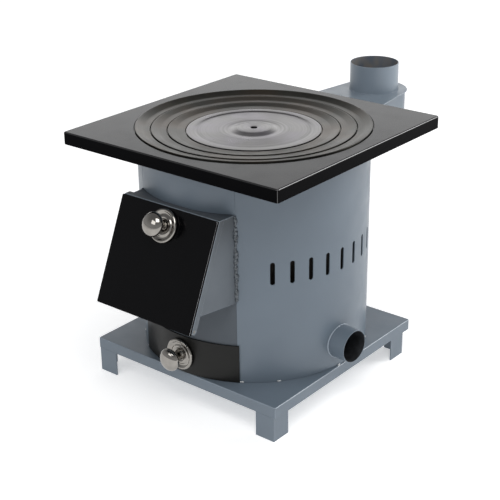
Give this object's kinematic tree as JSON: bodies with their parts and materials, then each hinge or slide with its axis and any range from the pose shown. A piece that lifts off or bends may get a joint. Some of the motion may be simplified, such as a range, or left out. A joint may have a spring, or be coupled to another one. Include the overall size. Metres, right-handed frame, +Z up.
{
  "type": "potbelly stove",
  "caption": "Round sheet-steel cooking stove on a square footed tray, with a square hob plate, nested rings and lid, drop-down fuel door, ash drawer, air inlet and pipe collar.",
  "frame": {"origin": "centre of the bounding box, on the floor", "axes": "+Z up, front with the fuel door towards -Y, flue box and pipe collar towards +Y, air inlet on +X"},
  "size_m": [0.5058, 0.7952, 0.5328],
  "materials": {
    "grey_enamel": "semi-gloss grey-blue stove paint on folded sheet steel",
    "black_enamel": "high-gloss black stove paint on sheet steel",
    "charcoal_paint": "satin charcoal stove paint",
    "cast_iron": "machined grey cast iron, faint turning marks",
    "ground_iron": "ground bare cast iron, lightly hazed",
    "nickel": "polished nickel plating",
    "fired_steel": "bare rolled steel, darkened",
    "plain_steel": "bare cold-rolled steel"
  },
  "bodies": {
    "stove": {"base_plate": "grey_enamel", "foot_front_left": "grey_enamel", "foot_front_right": "grey_enamel", "foot_rear_left": "grey_enamel", "foot_rear_right": "grey_enamel", "drum_shell": "grey_enamel", "front_panel_upper": "grey_enamel", "front_panel_lower": "grey_enamel", "fire_pot": "fired_steel", "pot_flange": "fired_steel", "grate_seat": "fired_steel", "pot_support_ring": "fired_steel", "grate": "cast_iron", "air_tube": "grey_enamel", "chute_side_left": "grey_enamel", "chute_side_right": "grey_enamel", "chute_roof": "grey_enamel", "chute_floor": "grey_enamel", "mouth_frame": "grey_enamel", "door_hinge_pin": "plain_steel", "door_stop": "grey_enamel", "drawer_runner_left": "plain_steel", "drawer_runner_right": "plain_steel", "flue_box_wall": "grey_enamel", "flue_box_floor": "grey_enamel", "flue_box_lid": "grey_enamel", "flue_collar": "grey_enamel", "top_plate": "black_enamel"},
    "fuel_door": {"door_panel": "black_enamel", "door_knuckle_left": "black_enamel", "door_knuckle_right": "black_enamel", "door_rosette": "nickel", "door_knob": "nickel", "door_knob_nut": "plain_steel"},
    "ash_drawer": {"ash_tray": "plain_steel", "drawer_front": "charcoal_paint", "drawer_rosette": "nickel", "drawer_knob": "nickel", "drawer_knob_nut": "plain_steel"},
    "hob_ring_outer_body": {"hob_ring_outer": "cast_iron"},
    "hob_ring_middle_body": {"hob_ring_middle": "cast_iron"},
    "hob_ring_inner_body": {"hob_ring_inner": "cast_iron"},
    "hob_lid_body": {"hob_lid": "ground_iron"}
  },
  "joints": [
    {"name": "fuel_door_hinge", "type": "hinge", "parent": "stove", "child": "fuel_door", "pos_m": [-0.00291, -0.38407, 0.22419], "axis": [1, 0, 0], "range_deg": [0, 113.6]},
    {"name": "ash_drawer_slide", "type": "slide", "parent": "stove", "child": "ash_drawer", "axis": [0, -1, 0], "range_m": [0, 0.25]},
    {"name": "hob_ring_outer_lift", "type": "slide", "parent": "stove", "child": "hob_ring_outer_body", "axis": [0, 0, 1], "range_m": [0, 0.15]},
    {"name": "hob_ring_middle_lift", "type": "slide", "parent": "hob_ring_outer_body", "child": "hob_ring_middle_body", "axis": [0, 0, 1], "range_m": [0, 0.15]},
    {"name": "hob_ring_inner_lift", "type": "slide", "parent": "hob_ring_middle_body", "child": "hob_ring_inner_body", "axis": [0, 0, 1], "range_m": [0, 0.15]},
    {"name": "hob_lid_lift", "type": "slide", "parent": "hob_ring_inner_body", "child": "hob_lid_body", "axis": [0, 0, 1], "range_m": [0, 0.15]}
  ]
}
